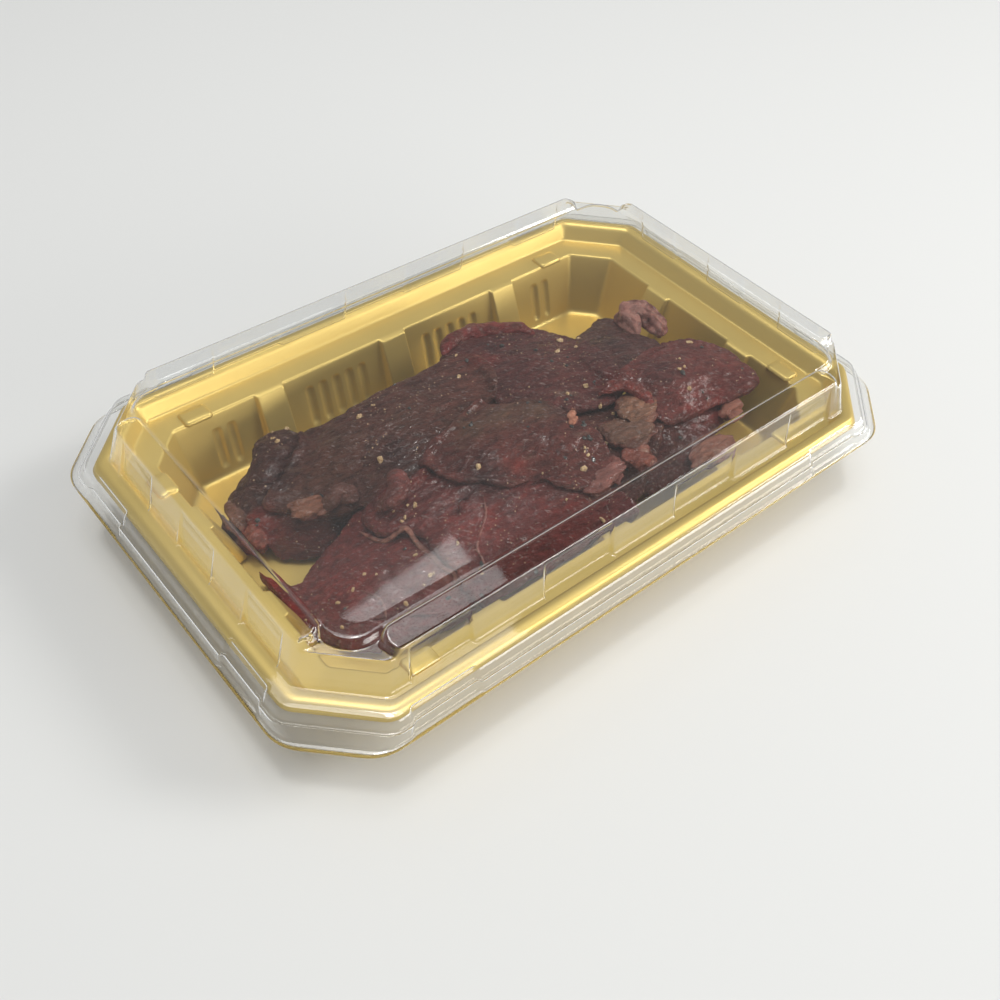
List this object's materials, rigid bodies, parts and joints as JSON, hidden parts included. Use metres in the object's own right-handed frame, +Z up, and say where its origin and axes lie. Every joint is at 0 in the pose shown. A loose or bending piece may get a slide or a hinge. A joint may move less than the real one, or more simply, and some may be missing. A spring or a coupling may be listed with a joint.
{
  "type": "filled disposable food tray with lid",
  "caption": "Gold thermoformed octagonal tray with fluted walls and a clear press-on lid, filled with overlapping raw seasoned red meat slices with fat edges",
  "frame": {"origin": "middle of the flat underside of the tray, on the surface it stands on", "axes": "+X along the long side, +Y along the short side, +Z up through the lid"},
  "size_m": [0.21, 0.1378, 0.039],
  "materials": {
    "gold_sheet": "satin gold metallised food-grade sheet",
    "clear_sheet": "clear glossy thermoformed sheet",
    "meat_brown": "moist brown-red lean meat surface",
    "meat_red": "moist dark-red lean meat surface",
    "meat_fat": "moist tan-pink fat and gristle surface"
  },
  "bodies": {
    "root": {"tray": "gold_sheet", "lid": "clear_sheet", "slice_left_back": "meat_brown", "slice_left_under": "meat_red", "slice_front_left": "meat_red", "slice_right_under": "meat_brown", "slice_low_middle": "meat_brown", "slice_back_right": "meat_brown", "slice_back": "meat_brown", "slice_left_top": "meat_brown", "slice_front_right": "meat_red", "slice_middle": "meat_brown", "slice_right": "meat_red", "curl_red": "meat_red", "fold_back": "meat_red", "fold_right": "meat_red", "fold_left": "meat_brown", "gristle_back": "meat_fat", "fat_left": "meat_fat", "fat_red_left": "meat_red", "gristle_left": "meat_fat", "gristle_tan": "meat_fat", "gristle_low": "meat_fat", "gristle_orange": "meat_fat", "gristle_pink": "meat_fat", "fat_right_tip": "meat_fat", "fat_front_right": "meat_fat", "flake_pink": "meat_fat"}
  },
  "joints": []
}
